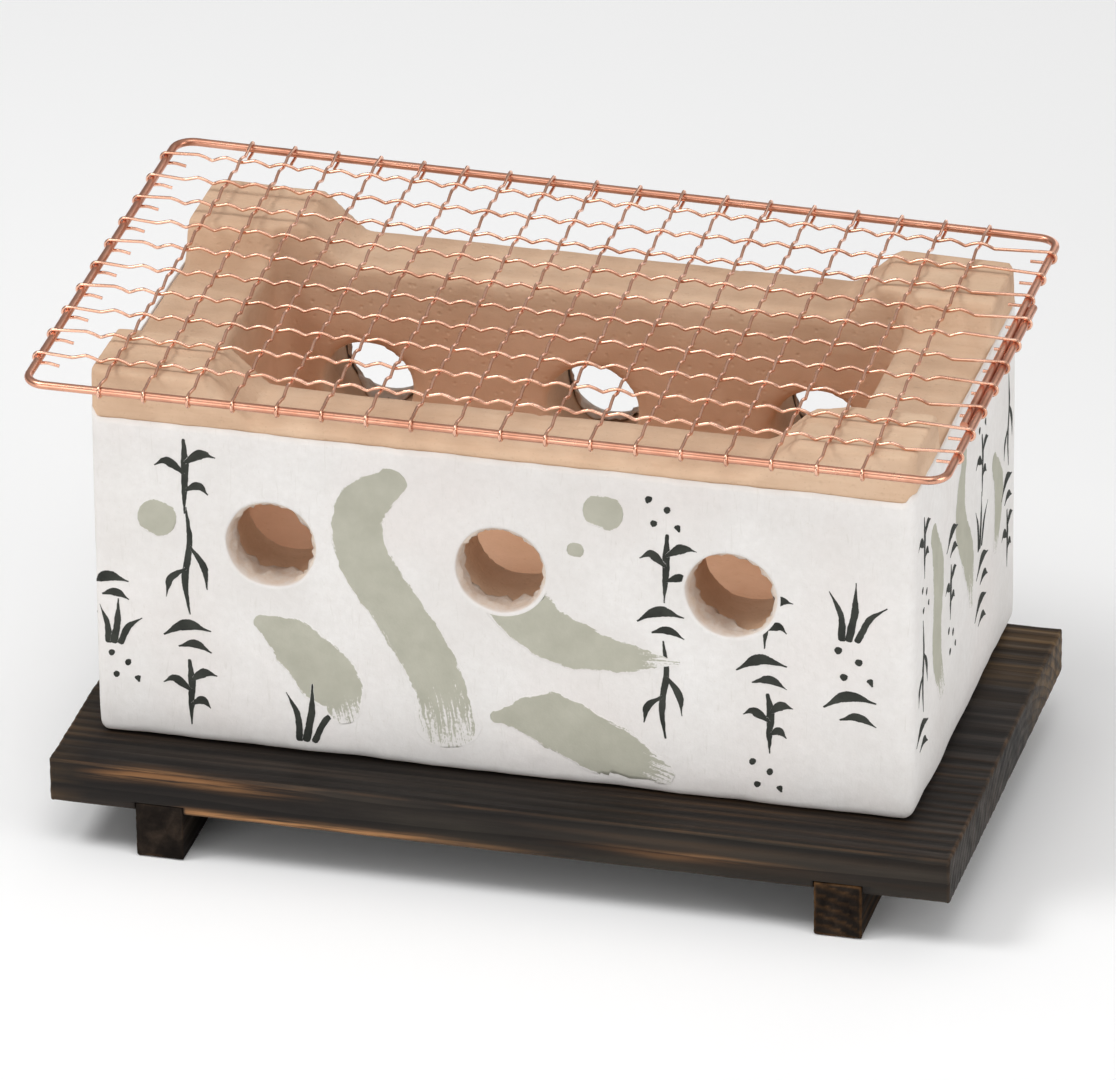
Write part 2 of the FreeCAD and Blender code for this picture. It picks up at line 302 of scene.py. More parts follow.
def make_nail_steel():
    recipe = Recipe("nail_steel", metallic=1.0)
    stain = recipe.noise(400, 5, 0.6)
    colour = recipe.tinted((0.42, 0.41, 0.40), (0.20, 0.12, 0.08), stain, 0.4, 0.7)
    return recipe.finish(colour, recipe.span(stain, 0.3, 0.7, 0.35, 0.6), recipe.bump(stain, 0.2, 0.1 * MM))


paper = make_paper()
green_paint = make_brushed_print("green_brush_print", (0.42, 0.41, 0.335), (0.48, 0.47, 0.39), 0.90, 14)
ink = make_brushed_print("ink_print", (0.022, 0.024, 0.020), (0.050, 0.053, 0.045), 0.96, 24)
clay = make_clay()
charred_wood = make_charred_wood("charred_wood", 0.22, 0, (0, 0.007, -0.033), 0.75)
# The feet's copy of the wood has far less shine: painted shade for the board's shadow over them. Its rings are
# fainter too.
shaded_foot_wood = make_charred_wood("shaded_foot_wood", 0.04, 1, (0.004, 0, -0.03), 0.15)
frame_copper = make_copper("frame_copper", (0.75, 0.38, 0.26), (0.50, 0.21, 0.13), 0.24)
mesh_copper = make_copper("mesh_copper", (0.88, 0.52, 0.38), (0.62, 0.31, 0.20), 0.18)
nail_steel = make_nail_steel()


# ---- mesh helpers ----
def new_object(name, mesh, material):
    body = bpy.data.objects.new(name, mesh)
    bpy.context.scene.collection.objects.link(body)
    mesh.materials.clear()
    mesh.materials.append(material)
    return body


def baked(source):
    """The object's mesh with its modifiers applied, as new plain mesh data."""
    bpy.context.view_layer.update()
    evaluated = source.evaluated_get(bpy.context.evaluated_depsgraph_get())
    return bpy.data.meshes.new_from_object(evaluated)


def remove(thing):
    bpy.data.objects.remove(thing, do_unlink=True)


def smooth_shaded(mesh):
    mesh.polygons.foreach_set("use_smooth", [True] * len(mesh.polygons))
    mesh.update()
    return mesh


def store(mesh, name, values):
    """Keep one number for each vertex, for the materials to read."""
    layer = mesh.attributes.new(name, "FLOAT", "POINT")
    layer.data.foreach_set("value", values)


def hills(x, y, z, wavelength, seed):
    """Smooth noise from about -1 to 1."""
    place = (x / wavelength + seed * 17.3, y / wavelength - seed * 5.1, z / wavelength + seed)
    return noise.noise(Vector(place))


def layered(x, y, z, *layers):
    """Hills of several sizes added up: each layer is (share, wavelength, seed)."""
    return sum(share * hills(x, y, z, wavelength, seed) for share, wavelength, seed in layers)


def eased(value):
    value = min(max(value, 0.0), 1.0)
    return value * value * (3 - 2 * value)


# ---- places that follow from the frame ----
wrap_low, wrap_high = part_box("washi_wrap")
clay_low, clay_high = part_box("clay_body")
board_low, board_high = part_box("tray_board")
TRAY_TOP = board_high.z
PAPER_TOP = wrap_high.z
RIM_TOP = PAPER_TOP + RIM_ABOVE_PAPER
POST_TOP = clay_high.z
STOVE = (wrap_low + wrap_high) / 2
HALF_LENGTH = (wrap_high.x - wrap_low.x) / 2
HALF_DEPTH = (wrap_high.y - wrap_low.y) / 2
CHAMBER_HALF_LENGTH = HALF_LENGTH - WALL
CHAMBER_HALF_DEPTH = HALF_DEPTH - WALL
VENT_STEP = CHAMBER_HALF_LENGTH - VENT_END_SPACE
VENT_PLACES = [STOVE.x - VENT_STEP, STOVE.x, STOVE.x + VENT_STEP]


# ---- clay fire box ----
CLAY_VOXEL = 1.6 * MM
CLAY_UNDER_PAPER = 0.9 * MM
CLAY_ABOVE_PAPER = 0.45 * MM
CLAY_SWELL = 0.8                 # of the layered hills, in millimetres
LARGEST_FOOT = 6 * MM            # widest turn of the paper under the clay
POST_MARKS = (-9, -3.5, 1.5, 6.5)       # marks across the front posts, from their middle
POST_MIDDLE = STOVE.y - HALF_DEPTH + 16 * MM


def in_chamber(place):
    """0 outside the fire chamber, rising to 1 at its floor."""
    past_end = abs(place.x - STOVE.x) - CHAMBER_HALF_LENGTH
    past_side = abs(place.y - STOVE.y) - CHAMBER_HALF_DEPTH
    within = eased(1 - max(past_end, past_side) / (2 * MM))
    return within * eased((RIM_TOP + 2 * MM - place.z) / (26 * MM))


def groove(place, centre_y, half_width, depth):
    """A shallow groove along X, like the mark of a wire drawn across wet clay."""
    offset = (place.y - centre_y) / half_width
    return depth * math.exp(-offset * offset)


def softened_clay():
    """The clay body's shape in even faces, with its sharp edges rounded."""
    source = new_object("clay_source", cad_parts["clay_body"].data.copy(), clay)
    shell = bmesh.new()
    shell.from_mesh(source.data)
    bmesh.ops.remove_doubles(shell, verts=shell.verts, dist=0.001 * MM)
    shell.to_mesh(source.data)
    shell.free()
    remesh = source.modifiers.new("voxels", "REMESH")
    remesh.mode = "VOXEL"
    remesh.voxel_size = CLAY_VOXEL
    soften = source.modifiers.new("soften", "SMOOTH")
    soften.factor = 0.5
    soften.iterations = 7
    mesh = baked(source)
    remove(source)
    return mesh


def clay_inset(smooth_level, rough_level):
    """How far the clay stays inside the paper's outermost face, by its level before and after roughening."""
    above_tray = smooth_level - TRAY_TOP
    if above_tray < LARGEST_FOOT:
        short = LARGEST_FOOT - max(above_tray, 0)
        return CLAY_UNDER_PAPER + LARGEST_FOOT - math.sqrt(LARGEST_FOOT ** 2 - short ** 2)
    if smooth_level < PAPER_TOP + 12 * MM:
        past_paper = eased((rough_level - PAPER_TOP + 1 * MM) / (1.5 * MM))
        return CLAY_UNDER_PAPER + (CLAY_ABOVE_PAPER - CLAY_UNDER_PAPER) * past_paper
    return CLAY_ABOVE_PAPER


def roughened(place, normal):
    """Where a point of the smooth clay lies once it is uneven, pitted, marked and trimmed."""
    level = place.z
    swell = layered(*place, (0.55, 34 * MM, 1), (0.28, 12 * MM, 2), (0.12, 4.5 * MM, 3))
    pit = max(0.0, hills(*place, 5.5 * MM, 7) - 0.52) * 2.2
    place = place + normal * (swell * CLAY_SWELL - pit) * MM
    if level > RIM_TOP + 3 * MM and normal.z > 0.5:
        wander = 1.2 * MM * hills(place.x, 0, 0, 18 * MM, 9)
        for mark in POST_MARKS:
            place.z -= groove(place, POST_MIDDLE + mark * MM + wander, 0.9 * MM, 0.5 * MM)
    inset = clay_inset(level, place.z)
    place.x = min(max(place.x, wrap_low.x + inset), wrap_high.x - inset)
    place.y = min(max(place.y, wrap_low.y + inset), wrap_high.y - inset)
    place.z = min(max(place.z, clay_low.z), POST_TOP)
    return place


def make_clay_body():
    mesh = softened_clay()
    # How deep in the chamber each point lies: the mask for the painted shade and fired colour there.
    chamber_fire_and_shade = [in_chamber(vertex.co) for vertex in mesh.vertices]
    normals = [vertex.normal.copy() for vertex in mesh.vertices]
    for vertex, normal in zip(mesh.vertices, normals):
        vertex.co = roughened(vertex.co.copy(), normal)
    smooth_shaded(mesh)
    store(mesh, "depth", chamber_fire_and_shade)
    body = new_object("clay_fire_box", mesh, clay)
    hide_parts("clay_body")
    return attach(body, "stove")


# ---- paper wrap ----
PAPER_THICK = 0.3 * MM
PAPER_CORNER = 4 * MM
PAPER_HEM = 9 * MM
PAPER_OFF_TRAY = 0.02 * MM
PAPER_STEP = 2.2 * MM
PAPER_ROWS = 46
HEM_SHARES = (1, 0.6, 0.25)      # rows of the hem, the first at its wavy edge
FOOT_ROWS = 6
CORNER_ROWS = 5
PAINT_THICK = 0.03 * MM
SEAM_WIDTH = 10 * MM
SEAM_EDGE = 0.8 * MM
SEAM_RISE = 0.12 * MM
SIDE_LENGTH = 2 * (HALF_LENGTH - PAPER_CORNER)
SIDE_DEPTH = 2 * (HALF_DEPTH - PAPER_CORNER)
CORNER_RUN = math.pi / 2 * PAPER_CORNER
BACK_START = SIDE_LENGTH + SIDE_DEPTH + 2 * CORNER_RUN
ROUND_TRIP = 2 * BACK_START
SEAM_RUN = BACK_START + 0.62 * SIDE_LENGTH

WALLS = (           # flat length, direction along, direction out, start
    (SIDE_LENGTH, Vector((1, 0)), Vector((0, -1)), Vector((-HALF_LENGTH + PAPER_CORNER, -HALF_DEPTH))),
    (SIDE_DEPTH, Vector((0, 1)), Vector((1, 0)), Vector((HALF_LENGTH, -HALF_DEPTH + PAPER_CORNER))),
    (SIDE_LENGTH, Vector((-1, 0)), Vector((0, 1)), Vector((HALF_LENGTH - PAPER_CORNER, HALF_DEPTH))),
    (SIDE_DEPTH, Vector((0, -1)), Vector((-1, 0)), Vector((-HALF_LENGTH, HALF_DEPTH - PAPER_CORNER))),
)


def rim_place(run):
    """The place and outward direction on the stove's outline, run metres round it.

    A run starts at the left end of the front wall and goes to the right first.
    """
    run %= ROUND_TRIP
    for side, along, out, start in WALLS:
        if run <= side:
            return start + along * run, out
        run -= side
        if run <= CORNER_RUN:
            angle = run / PAPER_CORNER
            turned = out * math.cos(angle) + along * math.sin(angle)
            centre = start + along * side - out * PAPER_CORNER
            return centre + turned * PAPER_CORNER, turned
        run -= CORNER_RUN
    return WALLS[0][3], WALLS[0][2]


def foot_round(run):
    """Radius of the paper's turn under the clay; it wanders, so the lower edge waves."""
    place, out = rim_place(run)
    wander = layered(place.x, place.y, 0, (1.7, 27 * MM, 24), (0.6, 9 * MM, 25))
    return min(max(3.7 + wander, 2.0), LARGEST_FOOT / MM) * MM


def paper_sink(run, height):
    """How far the paper lies inside its outermost face: soft dents, and a pull at the foot."""
    place, out = rim_place(run)
    x, y = place
    dents = 0.16 + 0.16 * hills(x, y, height, 30 * MM, 21) + 0.05 * hills(x, y, height, 9 * MM, 22)
    foot = eased(1 - height / (9 * MM)) * (0.5 + 0.5 * hills(x, y, 0, 26 * MM, 23)) * 0.7
    past_seam = (run - SEAM_RUN) % ROUND_TRIP
    overlap = min(eased(past_seam / SEAM_EDGE), eased((SEAM_WIDTH - past_seam) / SEAM_EDGE))
    return (max(dents, 0.02) + foot) * MM + SEAM_RISE * (1 - overlap)


def on_paper(run, height, proud=0.0):
    """A place on the paper's outer face, height above the tray."""
    place, out = rim_place(run)
    off = proud - paper_sink(run, height)
    spot = place + out * off
    return Vector((STOVE.x + spot.x, STOVE.y + spot.y, TRAY_TOP + height))


def paper_top_edge(run):
    """The torn top edge's height: low on the long walls, up to the clay's crest on the short ones."""
    place, out = rim_place(run)
    base = PAPER_TOP - TRAY_TOP - 0.5 * MM
    rise = 2.2 * MM * eased((abs(out.x) - 0.2) / 0.6)
    wave = layered(place.x, place.y, 0, (0.45, 22 * MM, 31), (0.25, 5 * MM, 32))
    return base + rise + wave * MM


VENT_RUNS = [place - STOVE.x + HALF_LENGTH - PAPER_CORNER for place in VENT_PLACES]
VENT_RUNS += [BACK_START + HALF_LENGTH - PAPER_CORNER - (place - STOVE.x) for place in VENT_PLACES]
FOLDS = ((222, 10.5), (240, 7.0), (196, 10.0))     # degrees round the hole, mm deep, hole by hole
LIP = 0.7 * MM                   # round of the paper's turn into a hole
LIP_RINGS = 3
FLAP_RINGS = 8


def round_noise(angle, ripples, offset):
    """Smooth noise that closes on itself round a hole."""
    return noise.noise(Vector((ripples * math.cos(angle), ripples * math.sin(angle), offset)))


def fold_depth(angle, number):
    """How far the pushed-in paper reaches into a hole: one deep flap, a narrow turn elsewhere."""
    middle, deepest = FOLDS[number % 3]
    beside = 0.5 + 0.5 * math.cos(angle - math.radians(middle))
    flap = eased((beside - 0.35) / 0.45)
    ragged = 0.5 + 0.5 * round_noise(angle, 3, number * 7.7 + 0.5)
    return (0.9 + deepest * flap * (0.6 + 0.5 * ragged) + 0.9 * ragged) * MM


def vent_edge(angle, number):
    """Radius of a draught hole's paper edge; the cut isn't quite round."""
    return VENT_RADIUS + 0.45 * MM * round_noise(angle, 1.6, number * 4.3 + 0.7)


def folded_edge(angle, step, number):
    """Radius and depth of one ring of the paper that is turned into a hole."""
    if step <= LIP_RINGS:
        turn = math.pi / 2 * step / LIP_RINGS
        radius = vent_edge(angle, number) - 0.2 * MM + LIP * (1 - math.sin(turn))
        return radius, LIP * (1 - math.cos(turn)) + 0.15 * MM
    share = (step - LIP_RINGS) / FLAP_RINGS
    ripple = abs(round_noise(angle, 4.5, 0.45 * step + number * 3.1))
    crumple = 2.4 * MM * ripple * eased(share / 0.4)
    radius = min(vent_edge(angle, number), VENT_RADIUS) - 0.25 * MM - crumple
    return radius, LIP + fold_depth(angle, number) * share


def wrap_runs():
    """Where the paper's columns stand: evenly on each wall, round the corners and closer at the seam."""
    runs = []
    run = 0.0
    for side, along, out, start in WALLS:
        count = round(side / PAPER_STEP)
        runs += [run + side * index / count for index in range(count)]
        run += side
        runs += [run + CORNER_RUN * index / CORNER_ROWS for index in range(CORNER_ROWS)]
        run += CORNER_RUN
    for share in (0, 0.25, 0.5, 0.75, 1):
        runs += [SEAM_RUN + SEAM_EDGE * share, SEAM_RUN + SEAM_WIDTH - SEAM_EDGE * share]
    return sorted(runs)


def paper_column(run, place, top):
    """(inset, height) down one column of the paper, from the hem's edge to the top."""
    foot = foot_round(run)
    column = []
    for share in HEM_SHARES:
        wavy = 0.8 * MM * hills(place.x, place.y, 0, 8 * MM, 41) if share == 1 else 0.0
        column.append((foot + PAPER_HEM * share + wavy, PAPER_OFF_TRAY))
    for index in range(FOOT_ROWS + 1):
        angle = math.pi / 2 * index / FOOT_ROWS
        inset = foot * (1 - math.sin(angle)) + paper_sink(run, foot) * math.sin(angle)
        column.append((inset, foot * (1 - math.cos(angle)) + PAPER_OFF_TRAY))
    for index in range(1, PAPER_ROWS + 1):
        height = foot + (top - foot) * index / PAPER_ROWS
        column.append((paper_sink(run, height), height))
    return column


def make_wrap():
    shell = bmesh.new()
    dust_and_shade = shell.verts.layers.float.new("dust_and_shade")
    rows = []
    for run in wrap_runs():
        place, out = rim_place(run)
        top = paper_top_edge(run)
        verts = []
        for inset, height in paper_column(run, place, top):
            spot = place - out * inset
            spot.x = min(max(spot.x, inset - HALF_LENGTH), HALF_LENGTH - inset)
            spot.y = min(max(spot.y, inset - HALF_DEPTH), HALF_DEPTH - inset)
            vert = shell.verts.new((STOVE.x + spot.x, STOVE.y + spot.y, TRAY_TOP + height))
            # Browner along the bottom edge where the paper turns under, and clay dust along the torn top edge.
            vert[dust_and_shade] = 0.75 * eased(1 - height / (1.6 * MM)) + 0.3 * eased(1 - (top - height) / (1.2 * MM))
            verts.append(vert)
        rows.append(verts)
    for left, right in zip(rows, rows[1:] + rows[:1]):
        for index in range(len(left) - 1):
            shell.faces.new((left[index], right[index], right[index + 1], left[index + 1]))
    bmesh.ops.remove_doubles(shell, verts=shell.verts, dist=0.005 * MM)
    fold_vents_in(shell, dust_and_shade)
    bmesh.ops.recalc_face_normals(shell, faces=shell.faces)
    final, sheet_faces = thickened("wrap_source", shell, PAPER_THICK, paper)
    body = new_object("washi_paper_wrap", final, paper)
    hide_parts("washi_wrap")
    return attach(body, "stove")


def thickened(name, shell, thickness, material):
    """A sheet given its thickness inwards, smooth shaded, and how many faces the sheet had."""
    mesh = bpy.data.meshes.new(name)
    shell.to_mesh(mesh)
    shell.free()
    source = new_object(name, mesh, material)
    thicken = source.modifiers.new("thicken", "SOLIDIFY")
    thicken.thickness = thickness
    thicken.offset = -1
    final = smooth_shaded(baked(source))
    remove(source)
    return final, len(mesh.polygons)


def fold_vents_in(shell, dust_and_shade):
    """Open each draught hole in the sheet and turn its edge into the clay."""
    reach = VENT_RADIUS + LIP + 0.3 * MM
    for number, run in enumerate(VENT_RUNS):
        place, out = rim_place(run)
        centre = Vector((STOVE.x + place.x, STOVE.y + place.y, TRAY_TOP + VENT_HEIGHT))
        inward = Vector((-out.x, -out.y, 0))
        up = Vector((0, 0, 1))
        right = inward.cross(up)

        def flat(spot):
            offset = spot - centre
            return offset.dot(right), offset.dot(up), offset.dot(inward)

        def near(spot, radius):
            u, v, deep = flat(spot)
            return abs(deep) < 3 * MM and math.hypot(u, v) < radius

        gone = [face for face in shell.faces if near(face.calc_center_median(), reach)]
        bmesh.ops.delete(shell, geom=gone, context="FACES")
        edges = [e for e in shell.edges if e.is_boundary and near(e.verts[0].co, reach + 5 * MM)]
        for vert in {v for e in edges for v in e.verts}:
            u, v, deep = flat(vert.co)
            vert.co += (right * u + up * v) * (reach / math.hypot(u, v) - 1)
        for step in range(1, LIP_RINGS + FLAP_RINGS + 1):
            made = bmesh.ops.extrude_edge_only(shell, edges=edges)["geom"]
            edges = [g for g in made if isinstance(g, bmesh.types.BMEdge) and g.is_boundary]
            for vert in {v for e in edges for v in e.verts}:
                u, v, deep = flat(vert.co)
                angle = math.atan2(v, u)
                radius, sunk = folded_edge(angle, step, number)
                # Painted shade, warm as if lit off the clay around it, deepening into the hole.
                vert[dust_and_shade] = eased((step - 1) / 4)
                vert.co = centre + (right * math.cos(angle) + up * math.sin(angle)) * radius + inward * sunk


def trimmed_at_vents(run, height):
    """A place on the paper, moved out to a hole's lip if it lies just within, or None if it is in the hole."""
    reach = VENT_RADIUS + 1.05 * MM
    for place in VENT_RUNS:
        across = (run - place + ROUND_TRIP / 2) % ROUND_TRIP - ROUND_TRIP / 2
        away = Vector((across, height - VENT_HEIGHT))
        if away.length < reach - 1.6 * MM:
            return None
        if away.length < reach:
            away *= reach / away.length
            return place + away.x, VENT_HEIGHT + away.y
    return run, height


# ---- brush work on the paper ----
class BrushWork:
    """Flat strokes laid on the paper, gathered into one mesh."""

    def __init__(self, name, material, seed):
        self.name = name
        self.material = material
        self.shell = bmesh.new()
        self.uv = self.shell.loops.layers.uv.new("stroke")
        self.dry = self.shell.verts.layers.float.new("dryness")
        self.random = random.Random(seed)
        self.count = 0

    def stroke(self, start_run, points, widths, ragged, step=0.6, dry_end=0.4, across=8, thicker=1.0):
        """A stroke through (along, height) points of a wall, its width eased along it, in millimetres."""
        self.count += 1
        seed = self.random.random() * 50
        line = smooth_line([(x * MM, y * MM) for x, y in points], step * MM)
        widths = [width * MM * thicker for width in widths]
        ragged *= MM
        total = sum((b - a).length for a, b in zip(line, line[1:]))
        proud = (0.05 + 0.006 * (self.count % 5)) * MM
        rows = []
        gone = 0.0
        for index, spot in enumerate(line):
            if index:
                gone += (spot - line[index - 1]).length
            share = gone / total
            before = line[max(index - 1, 0)]
            after = line[min(index + 1, len(line) - 1)]
            along = (after - before).normalized()
            side = Vector((-along.y, along.x))
            width = rounded_end(value_along(widths, share) / 2, min(gone, total - gone) + 0.1 * MM)
            row = []
            for cell in range(across + 1):
                t = math.sin(math.pi / 2 * (2 * cell / across - 1))
                rough = ragged * (0.6 * noise.noise(Vector((gone / (4 * MM), t * 2, seed)))
                                  + 0.4 * noise.noise(Vector((gone / (1.4 * MM), t * 2, seed + 9)))) * t
                where = spot + side * (t * width + rough)
                vert = None
                kept = trimmed_at_vents(start_run + where.x, where.y)
                if kept and where.y > foot_round(start_run + where.x):
                    vert = self.shell.verts.new(on_paper(*kept, proud))
                    vert[self.dry] = dry_end * eased((share - 0.6) / 0.4) + 0.45 * eased((abs(t) - 0.82) / 0.18)
                row.append((vert, (gone / (10 * MM), t * width / (10 * MM) + seed)))
            rows.append(row)
        for low, high in zip(rows, rows[1:]):
            for cell in range(across):
                corners = (low[cell], high[cell], high[cell + 1], low[cell + 1])
                if any(vert is None for vert, uv in corners):
                    continue
                face = self.shell.faces.new([vert for vert, uv in corners])
                for loop, (vert, uv) in zip(face.loops, corners):
                    loop[self.uv].uv = uv

    def finish(self, slot):
        loose = [vert for vert in self.shell.verts if not vert.link_faces]
        bmesh.ops.delete(self.shell, geom=loose, context="VERTS")
        final, flat_faces = thickened(self.name + "_source", self.shell, PAINT_THICK, self.material)
        for rim in final.polygons[2 * flat_faces:]:
            rim.use_smooth = False
        body = new_object(self.name, final, self.material)
        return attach(body, "stove")


def rounded_end(width, from_end):
    """Half a stroke's width, rounded off towards its ends."""
    cap = min(1.0, from_end / max(width * 0.7, 0.1 * MM))
    return width * math.sqrt(max(0.0, 1 - (1 - cap) ** 2))


def value_along(values, share):
    """A value eased through evenly spaced values."""
    place = share * (len(values) - 1)
    index = min(int(place), len(values) - 2)
    part = eased(place - index)
    return values[index] * (1 - part) + values[index + 1] * part


def smooth_line(points, step):
    """Evenly spaced points on a smooth curve through the given ones."""
    points = [Vector(p) for p in points]
    ends = [2 * points[0] - points[1]] + points + [2 * points[-1] - points[-2]]
    line = []
    for a, b, c, d in zip(ends, ends[1:], ends[2:], ends[3:]):
        pieces = max(2, round((c - b).length / step))
        for index in range(pieces):
            t = index / pieces
            line.append(0.5 * (2 * b + (c - a) * t + (2 * a - 5 * b + 4 * c - d) * t * t
                               + (3 * b - a - 3 * c + d) * t ** 3))
    line.append(points[-1])
    return line


FRONT_RUN = -PAPER_CORNER
RIGHT_RUN = SIDE_LENGTH + CORNER_RUN - PAPER_CORNER
BACK_RUN = BACK_START - PAPER_CORNER
LEFT_RUN = 2 * SIDE_LENGTH + SIDE_DEPTH + 3 * CORNER_RUN - PAPER_CORNER

# Broad pale strokes: points, widths, raggedness, dryness of the end, cells across.
LONG_WALL_GREEN = (
    ([(96, 97), (83, 84), (84, 68), (95, 50), (106, 30), (110, 8)], [9, 16, 17, 17, 18, 21], 1.1, 0.4, 16),
    ([(50, 44), (62, 37), (74, 24), (78, 12)], [5, 17, 20, 9], 1.1, 0.4, 16),
    ([(128, 76), (129, 62), (140, 50), (160, 45), (180, 45)], [15, 20, 17, 11, 2], 1.1, 0.4, 16),
    ([(122, 20), (140, 21), (158, 13), (178, 6)], [4, 19, 19, 8], 1.1, 0.4, 16),
    ([(15, 76), (26, 72)], [11, 12], 0.8, 0.1, 12),
    ([(151, 93), (163, 91)], [10, 11], 0.8, 0.1, 12),
    ([(146, 79), (151, 78)], [4.6, 4.8], 0.4, 0.1, 8),
)
SIDE_WALL_GREEN = (
    ([(24, 86), (32, 66), (30, 44), (38, 24)], [7, 13, 12, 8], 1.0, 0.4, 12),
    ([(66, 92), (60, 72), (72, 52), (76, 34)], [6, 13, 13, 5], 1.0, 0.4, 12),
    ([(104, 70), (112, 56), (108, 36)], [6, 12, 6], 1.0, 0.4, 12),
)

# Ink sprigs: half the height, then each stroke's points and widths. A point's third number is
# its share of the sprig's lean.
SPRIGS = {
    "stem": (9.5, (
        ([(0, 9), (0.4, 3, 1), (0.1, -4, 1), (0, -10, 1.2)], [0.7, 1.5, 1.2, 0.4]),
        ([(0.3, 3, 1), (4, 5.5), (7.5, 5.0)], [0.8, 2.0, 0.3]),
        ([(0.2, 0, 1), (-4, 3), (-7, 1.6)], [0.7, 1.9, 0.3]),
        ([(0.2, -4, 1), (3.4, -2.6), (5.6, -4.6)], [0.6, 1.7, 0.3]),
    )),
    "grass": (8, (
        ([(-3, -7), (-3.4, 0), (-6.2, 6)], [1.5, 1.2, 0.3]),
        ([(-1.5, -7), (0, 1), (0.4, 9)], [1.5, 1.4, 0.3]),
        ([(0.5, -7), (3.6, -0.5), (8, 3)], [1.3, 1.3, 0.3]),
    )),
    "seeds": (6, (
        ([(-4, 4), (-2.5, 3.0)], [1.2, 1.9]),
        ([(1, 1.2), (2.6, 0.4)], [1.3, 1.8]),
        ([(-2.6, -3), (-1.2, -4.2)], [1.1, 1.7]),
        ([(4.4, -3.4), (5.2, -5.4)], [1.5, 0.5]),
    )),
    "leaf": (6, (
        ([(-7, -1), (-1, 2.6), (6, 1.4)], [0.4, 2.3, 0.4]),
        ([(-3, -4), (1.5, -2.8), (6, -5)], [0.4, 1.8, 0.3]),
    )),
    "reed": (14, (
        ([(0, 14), (0.8, 5), (-0.5, -5), (0.4, -14)], [0.4, 1.2, 1.4, 0.5]),
        ([(0.6, 4), (4, -1), (4.8, -7)], [0.6, 1.5, 0.3]),
        ([(-0.2, -2), (-4, -5), (-5.2, -10)], [0.6, 1.4, 0.3]),
    )),
}

# Columns of sprigs, one under another: place along the wall, top, kinds, size.
LONG_WALL_INK = (
    (29, 101, ("stem", "reed", "leaf", "stem"), 1.22),
    (7, 56, ("leaf", "grass", "seeds"), 0.95),
    (66, 23, ("grass",), 1.25),
    (176, 101, ("seeds", "stem", "leaf", "reed"), 1.15),
    (206, 74, ("stem", "leaf", "stem", "seeds"), 1.12),
    (233, 76, ("grass", "seeds", "leaf"), 1.15),
)
SIDE_WALL_INK = (
    (13, 96, ("stem", "seeds", "reed", "leaf"), 1.1),
    (49, 76, ("leaf", "stem", "seeds"), 1.05),
    (89, 99, ("seeds", "stem", "grass", "leaf", "leaf"), 1.1),
    (125, 88, ("reed", "leaf", "stem"), 1.1),
)


def sprig(brush, start, u, v, size, lean, strokes):
    """A few ink strokes grouped as a sprig: a stem with leaves, blades of grass, or seeds."""
    for points, widths in strokes:
        moved = [(u + (x + lean * sum(share)) * size, v + y * size) for x, y, *share in points]
        brush.stroke(start, moved, widths, 0.35, step=0.45, dry_end=0.3, across=4, thicker=1.6)


def ink_columns(brush, start, columns):
    """Sprigs set one under another, column by column."""
    for u, top, kinds, size in columns:
        height = top
        for kind in kinds:
            half, strokes = SPRIGS[kind]
            height -= half * size
            lean = brush.random.uniform(-0.8, 0.8)
            drift = brush.random.uniform(-1.6, 1.6)
            sprig(brush, start, u + drift, height, size * brush.random.uniform(0.92, 1.08), lean, strokes)
            height -= half * size


def decorate():
    green = BrushWork("green_brush_strokes", green_paint, 5)
    ink_brush = BrushWork("ink_sprigs", ink, 11)
    for start, strokes, columns in (
        (FRONT_RUN, LONG_WALL_GREEN, LONG_WALL_INK),
        (BACK_RUN, LONG_WALL_GREEN, LONG_WALL_INK),
        (RIGHT_RUN, SIDE_WALL_GREEN, SIDE_WALL_INK),
        (LEFT_RUN, SIDE_WALL_GREEN, SIDE_WALL_INK),
    ):
        for points, widths, ragged, dry_end, across in strokes:
            green.stroke(start, points, widths, ragged, dry_end=dry_end, across=across)
        ink_columns(ink_brush, start, columns)
    green.finish("paper")
    ink_brush.finish("paper")


# ---- wooden tray ----
def spaced(low, high, step, edge):
    """Grid lines from low to high, with closer ones by the edges."""
    inner = max(2, round((high - low - 2 * edge) / step))
    lines = [low, low + edge * 0.3, low + edge * 0.65]
    lines += [low + edge + (high - low - 2 * edge) * index / inner for index in range(inner + 1)]
    lines += [high - edge * 0.65, high - edge * 0.3, high]
    return lines


def grid_block(low, high, steps, edge):
    """A closed block whose faces are gridded, as a bmesh."""
    lines = [spaced(low[axis], high[axis], steps[axis], edge) for axis in range(3)]
    shell = bmesh.new()
    made = {}

    def vert(i, j, k):
        if (i, j, k) not in made:
            made[i, j, k] = shell.verts.new((lines[0][i], lines[1][j], lines[2][k]))
        return made[i, j, k]

    last = [len(line) - 1 for line in lines]
    for axis in range(3):
        first, second = [a for a in range(3) if a != axis]
        for end in (0, last[axis]):
            for a in range(last[first]):
                for b in range(last[second]):
                    corners = []
                    for da, db in ((0, 0), (1, 0), (1, 1), (0, 1)):
                        index = [0, 0, 0]
                        index[axis] = end
                        index[first] = a + da
                        index[second] = b + db
                        corners.append(vert(*index))
                    shell.faces.new(corners)
    bmesh.ops.recalc_face_normals(shell, faces=shell.faces)
    return shell


def growth(place, pith, seed):
    """Ring value of the wood at a place: 0 in soft hollows, 1 on hard ridges."""
    bend = 5 * MM * hills(place.x * 0.18, place.y, place.z, 55 * MM, seed)
    bend += 1.2 * MM * hills(place.x * 0.1, place.y, place.z, 12 * MM, seed + 1)
    radius = math.hypot(place.y - pith.y, place.z - pith.z) + bend
    phase = (radius / RING_SPACING) % 1.0
    return phase ** 1.6 if phase < 0.86 else (1 - phase) / 0.14 * 0.86 ** 1.6


